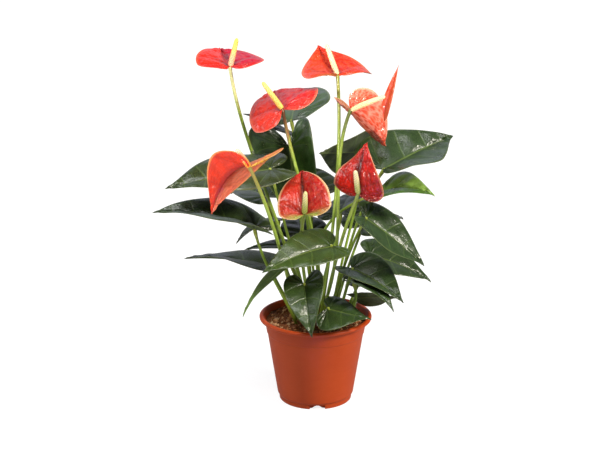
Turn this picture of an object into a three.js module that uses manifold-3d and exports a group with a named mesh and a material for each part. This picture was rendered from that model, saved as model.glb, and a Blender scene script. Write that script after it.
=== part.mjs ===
// Potted anthurium: a 14 cm nursery pot of soil, heart-shaped leaves and red flowers.
// Millimetres, +Z up. The origin is the middle of the pot's underside and -Y is the front.
import * as THREE from 'three';
import { mergeVertices } from 'three/addons/utils/BufferGeometryUtils.js';
import Module from 'manifold-3d';

const wasm = await Module();
wasm.setup();

// ---- driving dimensions ----
const GAP = 0.3;                 // clear distance between separate pieces
const WELD = 0.03;               // corners closer than this are one
const POT = { height: 110, lipR: 70, mouthR: 64.5, lipH: 5, wall: 1.6, topR: 63.4, footR: 45,
  bandH: 17, bandStep: 0.8, stepZ: 7, stepIn: 2, floorZ: 8, bossR: 9, segments: 36 };
const FOOT = { notches: 3, firstAt: -87, notchWidth: 19, notchHeight: 5.5, ringWidth: 5 };
const DRAIN = { holes: 6, radius: 4.5, circleR: 26 };
const SOIL = { top: 103.5, crown: 1.5, rise: 24, bottom: 9.5 };
const STEM_ROOT_Z = 88;          // every stem goes 10 mm into the soil
const PETIOLE_R = 1.7;
const STALK_R = 2.1;
const SPADIX = { rootR: 3.3, tipR: 2.3, sides: 10 };
const BLADE_T = 0.9;             // thickness of a leaf blade
const SPATHE_T = 0.8;

// Half outline of a blade: distance from the joint over length, distance from the midrib over
// half width. The curve runs from the sinus round the lobe and along the margin to the tip.
const LEAF_EDGE = [[-0.02, 0.05], [-0.13, 0.17], [-0.22, 0.45], [-0.14, 0.80], [0.08, 1.00],
  [0.35, 0.90], [0.60, 0.58], [0.80, 0.27], [0.92, 0.09], [1, 0]];
const SPATHE_EDGE = [[-0.03, 0.05], [-0.17, 0.16], [-0.30, 0.42], [-0.24, 0.78], [0.00, 1.00],
  [0.30, 0.97], [0.58, 0.70], [0.80, 0.34], [0.92, 0.10], [1, 0]];

// One row per leaf: joint and tip; roll about the midrib, arch of the midrib over its length,
// fold and cup of the halves, half width, twist; lobe depth, lean of the width to one side;
// then the stem: root, and its bends at 0.36 and 0.70 of its height. Angles are in degrees.
const LEAVES = {
  back_tall: [[-30, 107, 329], [-19, 204, 339], -16, 0.04, 29, -29, 52, -6, 0.69, -0.09,
    [5, 9], [-4, 44], [-16, 83]],
  back_thin: [[-34, 125, 311], [-92, 135, 332], 12, 0.02, 4, -19, 24, -15, 0.9, 0,
    [1, 12], [-10, 49], [-24, 94]],
  centre_tall: [[-32, 90, 298], [-17, 69, 216], 42, 0.16, 50, 10, 67, -14, 1.05, -0.06,
    [2, 7], [-9, 36], [-22, 68]],
  left_top: [[-55, -20, 302], [-180, -49, 287], -7, 0.02, 15, -31, 52, -15, 0.95, -0.1,
    [-4, 2], [-22, -2], [-40, -7]],
  left_middle: [[-74, -39, 233], [-197, -32, 252], 6, 0.07, 26, -18, 45, -26, 0.85, 0.12,
    [-19, -12], [-33, -34], [-64, -58]],
  left_low: [[-57, -6, 175], [-163, 14, 178], 3, 0.04, 16, -20, 42, 12, 0.55, -0.04,
    [-20, -5], [-27, -5], [-47, -6]],
  left_back: [[-46, 78, 206], [-100, 51, 185], 15, 0.1, 15, -15, 26, 0, 0.6, 0,
    [-9, 21], [-29, 52], [-52, 87]],
  left_thin: [[-29, 57, 180], [-92, 52, 175], 0, 0.05, 12, -15, 20, 0, 0.5, 0,
    [-6, 18], [-10, 27], [-23, 47]],
  front_young: [[-31, -65, 200], [-88, -97, 142], 45, 0.07, 12, -18, 23, 6, 0.4, 0,
    [12, -25], [8, -31], [-26, -46]],
  front_high: [[18, -63, 219], [-64, -110, 202], -18, 0.06, 18, -10, 33, -20, 0.62, 0.05,
    [8, -21], [5, -27], [11, -51]],
  front_low: [[-14, -70, 173], [-5, -116, 123], 19, 0.12, 25, -1, 27, 4, 0.94, 0.04,
    [-1, -32], [-4, -40], [-10, -59]],
  rim_front: [[15, -56, 137], [67, -70, 129], 21, 0, -1, -13, 33, -25, 0.8, -0.06,
    [12, -34], [13, -40], [14, -48]],
  rim_right: [[50, 3, 130], [103, -26, 140], -34, 0.03, 6, -27, 27, -1, 0.4, 0.05,
    [38, 1], [43, 2], [43, 2]],
  right_low: [[45, -10, 172], [106, -59, 146], 7, 0.06, 22, -7, 34, 3, 0.77, 0.04,
    [26, -12], [29, -16], [37, -20]],
  right_under: [[46, -35, 163], [94, -68, 138], -10, 0.11, 19, -9, 24, 6, 0.5, 0,
    [29, -22], [42, -28], [55, -36]],
  right_middle: [[68, 26, 178], [145, 22, 144], 19, 0.06, 13, -18, 35, -3, 0.82, 0,
    [32, 7], [39, 6], [59, 14]],
  right_front: [[60, -35, 245], [132, -36, 185], 14, 0.03, 11, -1, 39, 20, 0.75, -0.06,
    [12, -3], [25, 0], [41, 0]],
  right_young: [[80, 2, 267], [142, -49, 278], 22, 0.12, 14, -11, 31, -6, 0.45, 0,
    [20, 4], [5, 31], [-27, 66]],
  right_top: [[82, -10, 299], [170, 52, 325], -1, 0.02, 24, -13, 63, 28, 0.61, -0.12,
    [19, -6], [32, 7], [48, 21]],
  back_dark: [[64, 70, 300], [3, 4, 316], 61, 0, 7, -11, 40, -15, 0.76, -0.04,
    [19, 11], [26, 18], [55, 55]],
  back_right: [[32, 67, 220], [49, 128, 231], -15, 0.04, 9, -19, 33, -6, 0.86, 0,
    [15, 16], [-8, 26], [31, 56]],
  back_middle: [[-2, 106, 238], [-8, 158, 256], 0, 0.05, 12, -15, 34, 0, 0.7, 0,
    [3, 17], [-2, 43], [-8, 72]],
  back_low: [[-12, 78, 189], [-30, 132, 197], -5, 0.08, 12, -15, 30, 0, 0.5, 0,
    [2, 22], [-3, 41], [-8, 62]],
  rim_back: [[42, 38, 141], [90, 58, 137], 10, 0.08, 12, -15, 24, 0, 0.45, 0,
    [27, 19], [31, 24], [37, 31]],
  behind_right: [[60, 85, 196], [116, 150, 186], 8, 0.1, 14, -15, 33, 0, 0.85, 0,
    [23, 27], [29, 47], [51, 87]],
  behind_left: [[-62, 110, 228], [-110, 166, 216], -6, 0.1, 14, -15, 33, 0, 0.85, 0,
    [4, 28], [-24, 67], [-54, 112]],
};
const YOUNG = ['front_young', 'right_young'];

// The same columns for each flower's spathe and stalk, then the spadix tip.
const FLOWERS = {
  top_left: [[-103, 8, 421], [-118, 83, 428], -1, 0, 19, -19, 41, 12, 0.7, -0.03,
    [-6, 12], [-38, 38], [-94, 54], [-95, 14, 453]],
  upper_left: [[-40, 0, 371], [-53, 86, 372], -33, 0.05, 4, -19, 46, 21, 0.85, -0.06,
    [-1, -2], [18, -2], [-27, 1], [-63, 8, 401]],
  top_right: [[26, 20, 408], [3, 95, 430], -1, -0.1, 16, -32, 42, -11, 0.48, -0.07,
    [4, 2], [21, 2], [33, 15], [13, 34, 442]],
  upper_right: [[41, -17, 375], [84, -4, 326], 142, -0.02, -23, -39, 36, -4, 0.86, -0.01,
    [-5, -8], [51, -4], [9, -2], [79, -34, 395]],
  left: [[-77, -134, 338], [-123, -88, 267], 17, 0.17, 37, -17, 43, 27, 0.35, -0.21,
    [-17, 2], [-37, -36], [-50, -83], [-90, -147, 361]],
  centre: [[-14, -71, 262], [-17, -15, 300], -14, 0.06, 27, -14, 34, -7, 0.38, -0.09,
    [0, -20], [-12, -22], [-24, -25], [-13, -79, 290]],
  right: [[50, -51, 281], [60, -43, 343], 22, 0.14, -15, 2, 35, -32, 0.46, 0.11,
    [6, -15], [15, -29], [29, -44], [46, -63, 311]],
};
// One spathe has its margin drawn up to a narrow point, given as a blade of its own.
const DRAWN_POINT = { flower: 'upper_right',
  row: [[80, -10, 366], [98, -14, 430], 80, 0.03, 10, -10, 6, 0, 0.3, 0] };

// ---- materials ----
const paint = (color, roughness) => new THREE.MeshStandardMaterial({ color, roughness, metalness: 0 });
const COLOURS = {
  pot: ['#b5512f', 0.45], soil: ['#4f2b15', 0.95], leaf: ['#3a5a26', 0.35],
  youngLeaf: ['#6f8f30', 0.4], spathe: ['#d9452f', 0.25], spadix: ['#f0d488', 0.55],
  stalk: ['#74853a', 0.5],
};

// ---- solid helpers ----
function solid(geometry) {
  const g = geometry.clone();
  g.deleteAttribute('normal');
  g.deleteAttribute('uv');
  const m = mergeVertices(g, 1e-4);
  const p = m.attributes.position.array;
  const tris = [];
  for (let i = 0; i < m.index.count; i += 3) {
    const [a, b, c] = [0, 1, 2].map((k) => m.index.getX(i + k));
    if (a !== b && b !== c && c !== a) tris.push(a, b, c);
  }
  return new wasm.Manifold(new wasm.Mesh({
    numProp: 3, vertProperties: new Float32Array(p), triVerts: new Uint32Array(tris),
  }));
}
// Corners of a cut body that lie closer than reach become one corner.
function weld({ vertProperties, triVerts }, reach) {
  const corners = [];
  const toCorner = [];
  for (let i = 0; i < vertProperties.length; i += 3) {
    const p = new THREE.Vector3().fromArray(vertProperties, i);
    let k = corners.findIndex((q) => q.distanceTo(p) < reach);
    if (k < 0) k = corners.push(p) - 1;
    toCorner.push(k);
  }
  const index = [];
  for (let i = 0; i < triVerts.length; i += 3) {
    const [a, b, c] = [0, 1, 2].map((k) => toCorner[triVerts[i + k]]);
    if (a !== b && b !== c && c !== a) index.push(a, b, c);
  }
  return new THREE.BufferGeometry().setFromPoints(corners).setIndex(index);
}
function addMesh(group, name, body, colour) {
  let g = weld(body.asOriginal().simplify(0.02).getMesh(), WELD);
  g = weld(solid(g).asOriginal().simplify(0.02).getMesh(), WELD / 2);
  g.computeVertexNormals();
  const out = new THREE.Mesh(g, paint(...COLOURS[colour]));
  out.name = name;
  group.add(out);
}
function lathe(points, segments) {
  const profile = points.map(([r, z]) => new THREE.Vector2(r, z));
  return new THREE.LatheGeometry(profile, segments).rotateX(Math.PI / 2);
}
const vec = (a) => new THREE.Vector3(...a);
const rad = (deg) => deg * Math.PI / 180;

// ---- blades ----
function smoothEdge(points, n) {
  const last = points.length - 1;
  const at = (i) => {
    if (i < 0) return points[0].map((v, k) => 2 * v - points[1][k]);
    if (i > last) return points[last].map((v, k) => 2 * v - points[last - 1][k]);
    return points[i];
  };
  return Array.from({ length: n + 1 }, (_, k) => {
    const x = k / n * last;
    const i = Math.min(Math.floor(x), last - 1);
    const t = x - i;
    const [a, b, c, d] = [at(i - 1), at(i), at(i + 1), at(i + 2)];
    return [0, 1].map((j) => 0.5 * (2 * b[j] + (c[j] - a[j]) * t
      + (2 * a[j] - 5 * b[j] + 4 * c[j] - d[j]) * t * t
      + (3 * b[j] - a[j] - 3 * c[j] + d[j]) * t * t * t));
  });
}
// Point and upward normal of a blade at s along the midrib and w across it.
function bladePoint(row, s, w) {
  const [joint, tip, roll, arch, fold, cup, width, twist] = row;
  const J = vec(joint);
  const x = vec(tip).sub(J);
  const L = x.length();
  x.normalize();
  const n = new THREE.Vector3(0, 0, 1).addScaledVector(x, -x.z).normalize();
  const y = new THREE.Vector3().crossVectors(n, x);
  y.applyAxisAngle(x, rad(roll));
  n.applyAxisAngle(x, rad(roll));
  const rise = s > 0 ? 4 * arch * s * (1 - s) : 4 * arch * s;
  const slope = s > 0 ? 4 * arch * (1 - 2 * s) : 4 * arch;
  const p = J.clone().addScaledVector(x, L * s).addScaledVector(n, L * rise);
  const along = x.clone().addScaledVector(n, slope).normalize();
  const up = new THREE.Vector3().crossVectors(along, y).normalize();
  const turn = rad(twist) * Math.max(0, s);
  const side = y.clone().applyAxisAngle(along, turn);
  up.applyAxisAngle(along, turn);
  const a = Math.abs(w);
  const f = rad(fold);
  const c = rad(cup);
  const out = (Math.sin(f + c * a) - Math.sin(f)) / c;
  const lift = -(Math.cos(f + c * a) - Math.cos(f)) / c;
  const sign = w < 0 ? -1 : 1;
  p.addScaledVector(side, width * sign * out).addScaledVector(up, width * lift);
  const across = side.clone().multiplyScalar(sign * Math.cos(f + c * a))
    .addScaledVector(up, Math.sin(f + c * a));
  const normal = new THREE.Vector3().crossVectors(along, across).multiplyScalar(sign).normalize();
  return [p, a > 0 ? normal : up];
}
function blade(row, edge, thickness, rows, columns) {
  const [lobe, lean] = [row[8], row[9]];
  const verts = [];
  const tris = [];
  for (const face of [1, -1]) {
    for (const sign of [1, -1]) {
      const start = verts.length / 3;
      smoothEdge(edge, rows).forEach(([s0, w0], i) => {
        const s1 = s0 < 0 ? s0 * lobe : s0;
        const rib = Math.max(0, s0 - 0.35 * w0 * (1 - s0));
        for (let j = 0; j <= columns; j++) {
          const v = j / columns;
          const w = sign * w0 * (1 + sign * lean) * v;
          const [p, n] = bladePoint(row, rib + (s1 - rib) * v, w);
          const inside = j < columns && i > 0 && i < rows && (rib > 0 || j > 0);
          if (inside) p.addScaledVector(n, face * thickness / 2);
          verts.push(p.x, p.y, p.z);
        }
      });
      for (let i = 0; i < rows; i++) {
        for (let j = 0; j < columns; j++) {
          const a = start + i * (columns + 1) + j;
          const [b, c, d] = [a + 1, a + columns + 1, a + columns + 2];
          if (face * sign > 0) tris.push(a, c, d, a, d, b);
          else tris.push(a, d, c, a, b, d);
        }
      }
    }
  }
  const g = new THREE.BufferGeometry();
  g.setAttribute('position', new THREE.BufferAttribute(new Float32Array(verts), 3));
  g.setIndex(tris);
  return solid(g);
}

// ---- stems ----
function stemCurve([joint, , , , , , , , , , root, low, high]) {
  const h = joint[2] - STEM_ROOT_Z;
  return new THREE.CubicBezierCurve3(
    vec([...root, STEM_ROOT_Z]), vec([...low, STEM_ROOT_Z + 0.36 * h]),
    vec([...high, STEM_ROOT_Z + 0.70 * h]), vec(joint));
}
function tube(curve, radius, steps, sides) {
  const shape = new THREE.Shape(Array.from({ length: sides }, (_, k) => {
    const a = 2 * Math.PI * k / sides;
    return new THREE.Vector2(radius * Math.cos(a), radius * Math.sin(a));
  }));
  return solid(new THREE.ExtrudeGeometry(shape, { steps, extrudePath: curve, bevelEnabled: false }));
}
const knuckle = (row, radius) => wasm.Manifold.sphere(radius, 8).translate(...row[0]);
const steps = (row) => Math.max(4, Math.round((row[0][2] - STEM_ROOT_Z) / 26));

const group = new THREE.Group();

// ---- leaves: blade and petiole grew as one piece, thickened where they meet ----
const stems = [];
for (const [name, row] of Object.entries(LEAVES)) {
  const curve = stemCurve(row);
  const leaf = blade(row, LEAF_EDGE, BLADE_T, 9, 3).add(tube(curve, PETIOLE_R, steps(row), 5))
    .add(knuckle(row, PETIOLE_R + 0.9));
  addMesh(group, `leaf_${name}`, leaf, YOUNG.includes(name) ? 'youngLeaf' : 'leaf');
  stems.push(tube(curve, PETIOLE_R + GAP + 0.1, steps(row), 5));
}

// ---- flowers: stalk, spathe notched round it, and spadix standing on the stalk's end ----
for (const [name, row] of Object.entries(FLOWERS)) {
  const curve = stemCurve(row);
  addMesh(group, `flower_stalk_${name}`, tube(curve, STALK_R, steps(row), 6), 'stalk');
  const stalkRoom = tube(curve, STALK_R + GAP + 0.1, steps(row), 6);
  const axis = vec(row[13]).sub(vec(row[0]));
  const length = axis.length();
  axis.normalize();
  const tangent = curve.getTangent(1);
  const base = vec(row[0]).addScaledVector(tangent, GAP).addScaledVector(axis, GAP + 2.2);
  const spadix = (grow) => {
    const r = [SPADIX.rootR + grow, SPADIX.tipR + grow];
    const g = lathe([[0, -grow], [r[0], -grow], [r[0] * 0.95, length * 0.5], [r[1], length - 3.5],
      [r[1] * 0.6, length - 0.6 + grow], [0, length + grow]], SPADIX.sides);
    g.applyQuaternion(new THREE.Quaternion().setFromUnitVectors(new THREE.Vector3(0, 0, 1), axis));
    return solid(g.translate(...base));
  };
  addMesh(group, `spadix_${name}`, spadix(0), 'spadix');
  let spathe = blade(row, SPATHE_EDGE, SPATHE_T, 11, 3);
  if (name === DRAWN_POINT.flower) spathe = spathe.add(blade(DRAWN_POINT.row, SPATHE_EDGE, SPATHE_T, 7, 1));
  const room = stalkRoom.add(knuckle(row, STALK_R + 2 * GAP)).add(spadix(GAP));
  addMesh(group, `spathe_${name}`, spathe.subtract(room), 'spathe');
  stems.push(stalkRoom);
}

// ---- soil ----
const bandZ = POT.height - POT.lipH - POT.bandH;
const slope = (POT.topR - POT.bandStep - POT.footR - POT.stepIn) / (POT.height - POT.lipH - POT.stepZ);
const wallR = (z) => POT.footR + POT.stepIn + slope * (z - POT.stepZ);
const inside = (z) => wallR(z) - POT.wall - GAP;
let soil = solid(lathe([[0, SOIL.bottom], [inside(SOIL.bottom + 3) - 3, SOIL.bottom],
  [inside(SOIL.bottom + 3), SOIL.bottom + 3],
  [inside(SOIL.top - 2), SOIL.top - 2], [inside(SOIL.top) - 3, SOIL.top], [SOIL.rise, SOIL.top],
  [SOIL.rise / 2, SOIL.top + SOIL.crown], [0, SOIL.top + SOIL.crown]], POT.segments / 2));
for (const s of stems) soil = soil.subtract(s);
addMesh(group, 'soil', soil, 'soil');

// ---- pot: turned wall with rolled lip, band, foot ring and a centre boss ----
const top = POT.height - POT.lipH;
const ringIn = POT.footR - FOOT.ringWidth;
const underside = POT.floorZ - POT.wall;
let pot = solid(lathe([
  [0, 0], [POT.bossR, 0], [POT.bossR + 1, underside], [ringIn - 1, underside],
  [ringIn, 0], [POT.footR, 0], [POT.footR, POT.stepZ - 1], [wallR(POT.stepZ + 2), POT.stepZ + 2],
  [wallR(bandZ), bandZ], [wallR(bandZ) + POT.bandStep, bandZ + 0.6], [POT.topR, top],
  [POT.lipR - 1, top], [POT.lipR, top + 1.2], [POT.lipR, top + 3.4], [POT.lipR - 1.6, POT.height],
  [POT.mouthR + 1.4, POT.height], [POT.mouthR, POT.height - 0.8],
  [wallR(top) - POT.wall, top], [wallR(SOIL.bottom + 3) - POT.wall, SOIL.bottom + 3],
  [wallR(SOIL.bottom + 3) - POT.wall - 3, POT.floorZ], [0, POT.floorZ]], POT.segments));
for (let k = 0; k < FOOT.notches; k++) {
  const notch = new THREE.BoxGeometry(FOOT.ringWidth + 6, FOOT.notchWidth, 2 * FOOT.notchHeight);
  notch.translate(POT.footR, 0, 0).rotateZ(rad(FOOT.firstAt + 360 * k / FOOT.notches));
  pot = pot.subtract(solid(notch));
}
for (let k = 0; k < DRAIN.holes; k++) {
  const drain = new THREE.CylinderGeometry(DRAIN.radius, DRAIN.radius, 20, 12).rotateX(Math.PI / 2);
  drain.translate(DRAIN.circleR, 0, 0).rotateZ(rad(360 * k / DRAIN.holes));
  pot = pot.subtract(solid(drain));
}
addMesh(group, 'pot', pot, 'pot');

export default group;
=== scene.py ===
import math
import random

import bmesh
import bpy
import numpy as np
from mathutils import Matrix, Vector, noise


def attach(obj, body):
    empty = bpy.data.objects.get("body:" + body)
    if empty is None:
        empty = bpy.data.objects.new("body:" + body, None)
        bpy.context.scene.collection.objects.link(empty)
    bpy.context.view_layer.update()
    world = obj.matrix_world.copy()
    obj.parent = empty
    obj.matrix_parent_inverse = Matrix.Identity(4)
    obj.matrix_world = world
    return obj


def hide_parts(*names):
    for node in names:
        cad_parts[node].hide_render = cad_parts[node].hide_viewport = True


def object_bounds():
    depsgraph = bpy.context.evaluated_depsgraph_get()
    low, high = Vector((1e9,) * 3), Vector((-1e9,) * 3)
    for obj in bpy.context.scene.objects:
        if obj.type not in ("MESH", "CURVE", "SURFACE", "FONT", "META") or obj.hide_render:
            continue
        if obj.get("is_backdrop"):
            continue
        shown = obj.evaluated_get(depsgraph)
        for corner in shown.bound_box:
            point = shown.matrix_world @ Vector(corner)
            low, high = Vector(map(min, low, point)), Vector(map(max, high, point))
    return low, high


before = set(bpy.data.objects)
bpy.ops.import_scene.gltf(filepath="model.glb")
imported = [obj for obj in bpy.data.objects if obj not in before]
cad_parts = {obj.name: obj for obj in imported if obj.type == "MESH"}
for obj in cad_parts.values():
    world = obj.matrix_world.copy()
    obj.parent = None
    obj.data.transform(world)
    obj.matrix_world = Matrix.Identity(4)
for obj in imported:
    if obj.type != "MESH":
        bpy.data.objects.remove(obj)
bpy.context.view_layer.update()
MM = 0.001

# ---- Camera ----
# A long lens a little over two metres in front of the plant and above it, tipped down so that
# the pot's mouth shows as a narrow ellipse.
bpy.ops.object.select_all(action="DESELECT")
bpy.ops.object.camera_add(location=(-0.0193, -2.2, 0.93), rotation=(math.radians(72.25), 0, 0))
camera = bpy.context.object
camera.data.lens = 113.2
camera.data.sensor_width = 36
camera.data.clip_end = 50
bpy.context.scene.camera = camera
bpy.context.scene.view_settings.view_transform = "Standard"

# ---- Pot ----
# The pot is polypropylene coloured like terracotta, injection moulded with a thin tapered wall,
# a rolled lip, a stacking band under it and a foot ring. Notches through the ring and holes in
# the floor let water out. The mould leaves a soft satin skin with faint flow marks.
POT_SIDES = 144
NOTCHES, NOTCH_TURN, NOTCH_WIDTH, NOTCH_HEIGHT, RING_RADIUS = 3, -87, 19, 5.5, 45
DRAINS, DRAIN_RADIUS, DRAIN_RING = 6, 4.5, 26


def srgb(code):
    """A hex colour as linear RGBA."""
    parts = [int(code[i:i + 2], 16) / 255 for i in (1, 3, 5)]
    return tuple(c / 12.92 if c <= 0.04045 else ((c + 0.055) / 1.055) ** 2.4 for c in parts) + (1,)


def add(tree, kind, inputs=None, **settings):
    """A node with its settings; an input takes a value or another node's output, and a colour
    ramp takes its stops as (place, hex) pairs."""
    made = tree.nodes.new(kind)
    stops = settings.pop("stops", ())
    for place, code in stops[1:-1]:
        made.color_ramp.elements.new(place)
    for (place, code), mark in zip(stops, made.color_ramp.elements if stops else ()):
        mark.position, mark.color = place, srgb(code)
    for key, value in settings.items():
        setattr(made, key, value)
    for key, value in (inputs or {}).items():
        if isinstance(value, bpy.types.Node):
            value = value.outputs[0]
        if isinstance(value, bpy.types.NodeSocket):
            tree.links.new(value, made.inputs[key])
        else:
            made.inputs[key].default_value = value
    return made


def finish_of(name, **values):
    """A new material's tree and Principled shader, with the shader's plain values set."""
    made = bpy.data.materials.new(name)
    made.use_nodes = True
    skin = made.node_tree.nodes["Principled BSDF"]
    for key, value in values.items():
        skin.inputs[key.replace("_", " ")].default_value = value
    return made, made.node_tree, skin


def fillets(corners, steps=3):
    """(radius, height, fillet) corners in mm as a profile, each corner rounded by its fillet."""
    profile = []
    for i, (r, z, fillet) in enumerate(corners):
        here = Vector((r, z))
        if not fillet:
            profile.append((r, z))
            continue
        ends = []
        for j in (i - 1, i + 1):
            way = Vector(corners[j][:2]) - here
            ends.append(here + way.normalized() * min(fillet, way.length * 0.45))
        for k in range(steps + 1):
            t = k / steps
            p = ends[0] * (1 - t) ** 2 + here * 2 * t * (1 - t) + ends[1] * t * t
            profile.append((p.x, p.y))
    return profile


def turned(name, profile, sides):
    """A solid of revolution: a disc extruded ring by ring along the profile and closed."""
    bpy.ops.object.select_all(action="DESELECT")
    r, z = profile[0]
    bpy.ops.mesh.primitive_circle_add(
        vertices=sides, radius=r * MM, fill_type="TRIFAN", location=(0, 0, z * MM))
    made = bpy.context.object
    made.name = made.data.name = name
    bpy.ops.object.transform_apply(location=True)
    bpy.ops.object.mode_set(mode="EDIT")
    bpy.ops.mesh.select_all(action="SELECT")
    bpy.ops.mesh.region_to_loop()
    for r2, z2 in profile[1:]:
        bpy.ops.mesh.extrude_edges_move(TRANSFORM_OT_translate={"value": (0, 0, (z2 - z) * MM)})
        bpy.ops.transform.resize(value=(r2 / r, r2 / r, 1), center_override=(0, 0, z2 * MM))
        r, z = r2, z2
    bpy.ops.mesh.merge(type="CENTER")
    bpy.ops.mesh.select_all(action="SELECT")
    bpy.ops.mesh.normals_make_consistent(inside=False)
    bpy.ops.object.mode_set(mode="OBJECT")
    return made


def wall_radius(z):
    """The pot's outer radius in mm, below its band, at a height."""
    return 47 + 0.1592 * (z - 7)


pot = turned("pot_moulding", fillets([
    (9, 0, 0), (9.8, 6.4, 0.6), (39, 6.4, 0.8), (40, 0, 0.8), (45, 0, 1.2), (45.2, 6, 0.5),
    (47.3, 8.2, 1.2), (wall_radius(87.6), 87.6, 0.6), (60.7, 88.5, 0.5), (63.3, 104.6, 0.8),
    (69.4, 105.2, 1.2), (70, 108.4, 1.5), (67.4, 110, 1.8), (64.8, 109.6, 1.2),
    (61.4, 104, 2.5), (wall_radius(88) - 1.6, 88, 0.5), (wall_radius(12) - 1.6, 12.5, 1),
    (wall_radius(12) - 4.6, 8, 1), (1, 8, 0)]), POT_SIDES)

cutters = []
bpy.ops.object.select_all(action="DESELECT")
for k in range(NOTCHES):
    turn = math.radians(360 / NOTCHES * k + NOTCH_TURN)
    bpy.ops.mesh.primitive_cube_add(
        size=1, scale=(2 * NOTCH_HEIGHT * MM, NOTCH_WIDTH * MM, 2 * NOTCH_HEIGHT * MM),
        rotation=(0, 0, turn),
        location=(RING_RADIUS * MM * math.cos(turn), RING_RADIUS * MM * math.sin(turn), 0))
    cutters.append(bpy.context.object)
for k in range(DRAINS):
    turn = math.radians(360 / DRAINS * k)
    bpy.ops.mesh.primitive_cylinder_add(
        vertices=28, radius=DRAIN_RADIUS * MM, depth=24 * MM,
        location=(DRAIN_RING * MM * math.cos(turn), DRAIN_RING * MM * math.sin(turn), 6 * MM))
    cutters.append(bpy.context.object)
bpy.ops.object.select_all(action="DESELECT")
for cutter in cutters:
    cutter.select_set(True)
bpy.context.view_layer.objects.active = cutters[0]
bpy.ops.object.join()
cutter = bpy.context.object
bpy.ops.object.select_all(action="DESELECT")
pot.select_set(True)
bpy.context.view_layer.objects.active = pot
cut = pot.modifiers.new("notches_and_drains", "BOOLEAN")
cut.object = cutter
cut.operation = "DIFFERENCE"
cut.solver = "EXACT"
bpy.ops.object.modifier_apply(modifier=cut.name)
bpy.data.objects.remove(cutter)
bpy.ops.object.shade_smooth_by_angle(angle=math.radians(32))

# Moulded polypropylene scatters a little light under its skin and keeps a satin shine. The
# blotches left by the flow are 4 cm long, and the mould's spark grain, 0.3 mm, is drawn at
# 1.5 mm so that it shows.
plastic, tree, skin = finish_of(
    "moulded_polypropylene", Roughness=0.36, IOR=1.49, Specular_IOR_Level=0.3, Subsurface_Weight=0.05,
    Subsurface_Radius=(0.004, 0.0015, 0.0008), Subsurface_Scale=1.0)
place = add(tree, "ShaderNodeTexCoord").outputs["Object"]
blotch = add(tree, "ShaderNodeTexNoise", {"Vector": place, "Scale": 25.0, "Detail": 3.0})
stretched = add(tree, "ShaderNodeMapping", {"Vector": place, "Scale": (1.0, 1.0, 5.0)})
marks = add(tree, "ShaderNodeTexNoise", {"Vector": stretched, "Scale": 70.0, "Detail": 4.0})
clay = add(tree, "ShaderNodeMix", {
    0: blotch, 6: srgb("#b5400f"), 7: srgb("#c44c18")}, data_type="RGBA")
clay = add(tree, "ShaderNodeMix", {
    0: add(tree, "ShaderNodeMapRange", {0: marks, 1: 0.45, 2: 0.8, 3: 0.0, 4: 0.2}),
    6: clay.outputs[2], 7: srgb("#c85428")}, data_type="RGBA")
tree.links.new(clay.outputs[2], skin.inputs["Base Color"])
rough = add(tree, "ShaderNodeMapRange", {0: blotch, 1: 0.3, 2: 0.7, 3: 0.4, 4: 0.48})
tree.links.new(rough.outputs[0], skin.inputs["Roughness"])
grain = add(tree, "ShaderNodeTexNoise", {"Vector": place, "Scale": 650.0, "Detail": 2.0})
relief = add(tree, "ShaderNodeBump", {"Height": grain, "Strength": 0.12, "Distance": 0.0004})
tree.links.new(relief.outputs[0], skin.inputs["Normal"])
pot.data.materials.append(plastic)
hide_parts("pot")
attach(pot, "root")

# ---- Soil ----
# Potting soil of dark peat with bark and fibre, poured in loose and settled 6 mm below the
# rim. Its top is a rough skin of crumbs from 1 to 5 mm, the larger ones drier and paler.
SOIL_RADIUS = wall_radius(104) - 2
SOIL_TOP, SOIL_CROWN = 103.3, 1.4
CRUMBS = 1700
rng = random.Random(7)


def soil_height(x, y):
    """The height of the soil's skin in mm: a low crown with lumps and hollows."""
    spot = Vector((x, y, 0))
    crown = SOIL_TOP + SOIL_CROWN * max(0.0, 1 - math.hypot(x, y) / 40)
    return crown + 1.6 * noise.noise(spot / 11) + 0.9 * noise.noise(spot / 4)


soil = turned("soil_bed", [
    (42, 10), (wall_radius(14) - 3, 14)]
    + [(r, 103) for r in np.linspace(SOIL_RADIUS, 2, 34)], 120)
for corner in soil.data.vertices:
    x, y, z = corner.co / MM
    if z > 90:
        corner.co.z = soil_height(x, y) * MM

# The crumbs are copies of one small ball, each stretched, turned and dented in its own way.
bpy.ops.object.select_all(action="DESELECT")
bpy.ops.mesh.primitive_ico_sphere_add(subdivisions=1, radius=1)
crumb = bpy.context.object
crumb.name = crumb.data.name = "soil_crumbs"
crumbs = bmesh.new()
crumbs.from_mesh(crumb.data)
tone = crumbs.verts.layers.float.new("dryness")
ball = crumbs.verts[:] + crumbs.edges[:] + crumbs.faces[:]
for k in range(CRUMBS):
    r = (SOIL_RADIUS - 1.5) * math.sqrt(rng.random())
    turn = rng.random() * 2 * math.pi
    x, y = r * math.cos(turn), r * math.sin(turn)
    size = 0.5 + 1.9 * rng.random() ** 3
    made = bmesh.ops.duplicate(crumbs, geom=ball)["geom"]
    made = [part for part in made if isinstance(part, bmesh.types.BMVert)]
    stretch = Vector((rng.uniform(0.7, 1.7), rng.uniform(0.6, 1.1), rng.uniform(0.4, 0.9)))
    spin = Vector((rng.random(), rng.random(), rng.random())).to_track_quat("X", "Z")
    dry = rng.random() ** 2.2
    centre = Vector((x, y, soil_height(x, y) + 0.25 * size))
    for v in made:
        lump = 1 + 0.35 * noise.noise(v.co * 2 + centre)
        v.co = (centre + spin @ (v.co * stretch) * size * lump) * MM
        v[tone] = dry
bmesh.ops.delete(crumbs, geom=ball, context="VERTS")
crumbs.to_mesh(crumb.data)
crumbs.free()
soil.select_set(True)
bpy.context.view_layer.objects.active = soil
bpy.ops.object.join()
bpy.ops.object.shade_smooth_by_angle(angle=math.radians(40))

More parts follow.
